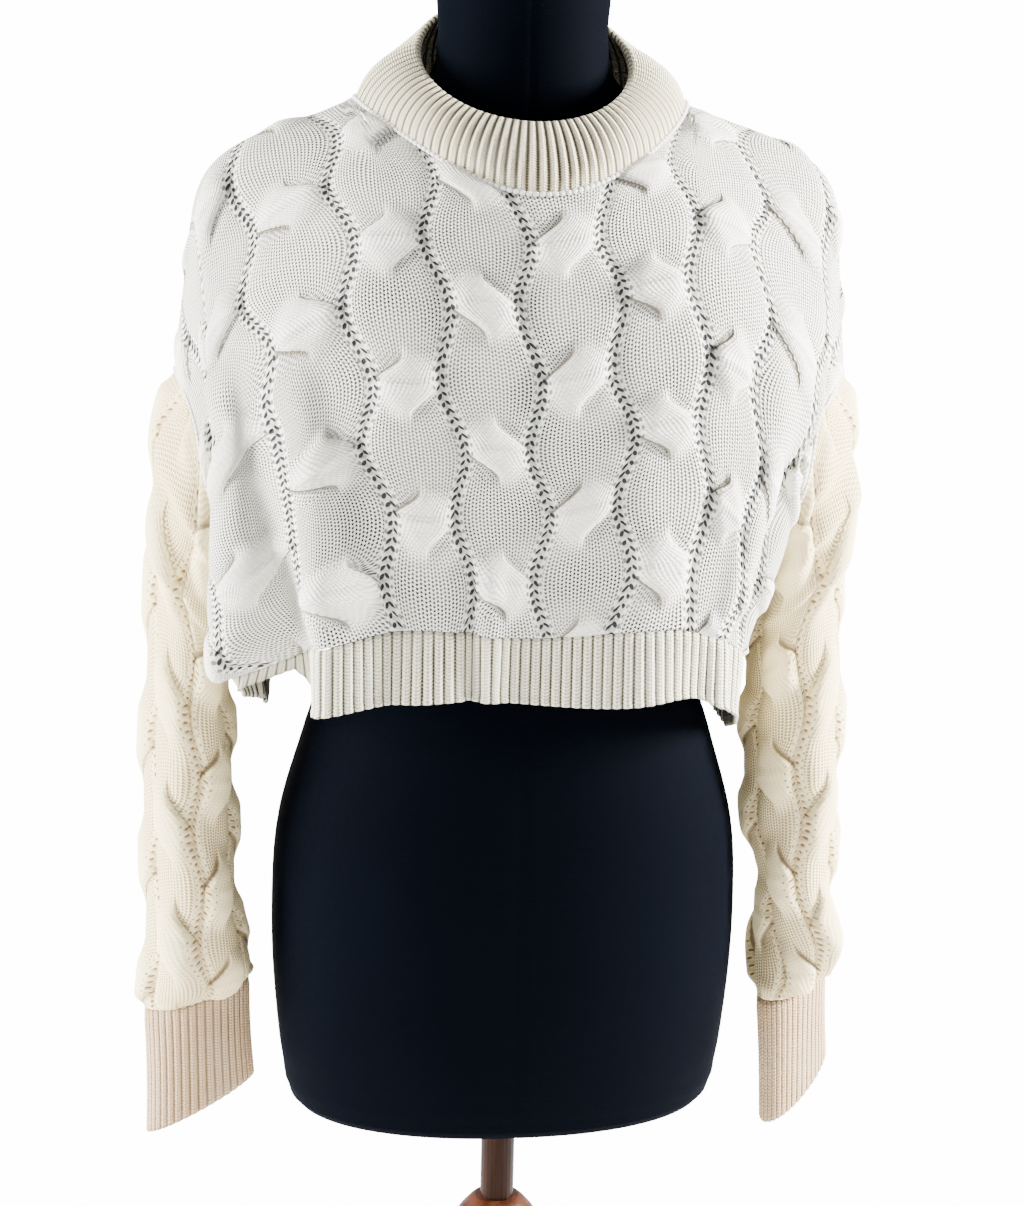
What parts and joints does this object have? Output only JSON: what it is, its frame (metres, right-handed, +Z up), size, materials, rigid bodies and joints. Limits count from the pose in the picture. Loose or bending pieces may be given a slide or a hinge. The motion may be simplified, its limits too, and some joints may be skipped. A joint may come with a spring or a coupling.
{
  "type": "cropped cable knit sweater on a limbless dress form with a tripod stand",
  "caption": "Cropped cable knit sweater with a folded rib collar, dropped shoulders and long sleeves, worn by a limbless dress form on a turned wooden stand.",
  "frame": {"origin": "on the floor under the pole, in the middle of the feet", "axes": "+Z up the pole; -Y is the sweater's front; -X is the viewer's left, the wearer's right"},
  "size_m": [0.5195, 0.3834, 1.542],
  "materials": {
    "knit": "off-white cable knit with openwork ladders",
    "sleeve_knit": "warm off-white cable knit",
    "rib": "off-white rib knit",
    "jersey": "matt blue-black jersey",
    "wood": "glossy mahogany"
  },
  "bodies": {
    "root": {"front_panel": "knit", "back_panel": "knit", "hem_rib_front": "rib", "hem_rib_back": "rib", "collar": "rib", "sleeve_left": "sleeve_knit", "sleeve_right": "sleeve_knit", "cuff_left": "rib", "cuff_right": "rib", "dress_form": "jersey", "pole": "wood", "stand_column": "wood", "leg_1": "wood", "leg_2": "wood", "leg_3": "wood"}
  },
  "joints": []
}
